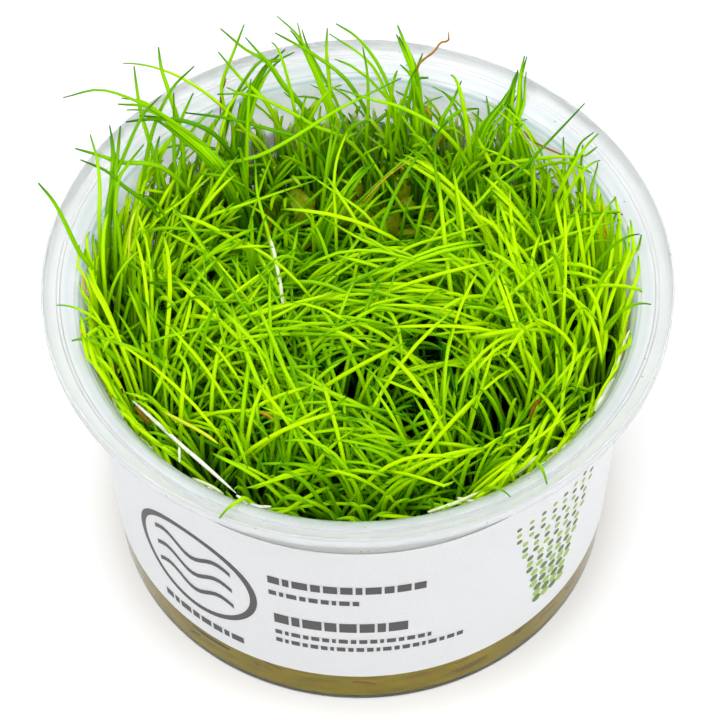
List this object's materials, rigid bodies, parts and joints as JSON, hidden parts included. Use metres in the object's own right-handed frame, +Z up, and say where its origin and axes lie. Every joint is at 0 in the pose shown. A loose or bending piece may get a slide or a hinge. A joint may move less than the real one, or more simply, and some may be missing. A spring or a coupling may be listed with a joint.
{
  "type": "dwarf hairgrass in a culture cup",
  "caption": "Mat of fine grass blades growing from a disc of culture gel in a wide-rimmed clear plastic cup with a paper sleeve.",
  "frame": {"origin": "centre of the cup's flat base, on the surface it stands on", "axes": "+Z up along the cup's axis, -Y towards the viewer of the picture, +X to the right"},
  "size_m": [0.09, 0.09, 0.0701],
  "materials": {
    "cup": "clear moulded polypropylene, slightly milky",
    "label": "uncoated white paper",
    "gel": "wet olive culture gel",
    "grass": "fresh green culms with a slight wax gloss"
  },
  "bodies": {
    "root": {"cup": "cup", "label": "label", "gel": "gel", "tuft_01": "grass", "tuft_02": "grass", "tuft_03": "grass", "tuft_04": "grass", "tuft_05": "grass", "tuft_06": "grass", "tuft_07": "grass", "tuft_08": "grass", "tuft_09": "grass", "tuft_10": "grass", "tuft_11": "grass", "tuft_12": "grass", "tuft_13": "grass", "tuft_14": "grass", "tuft_15": "grass", "tuft_16": "grass", "tuft_17": "grass", "tuft_18": "grass", "tuft_19": "grass", "tuft_20": "grass", "tuft_21": "grass", "tuft_22": "grass", "tuft_23": "grass"}
  },
  "joints": []
}
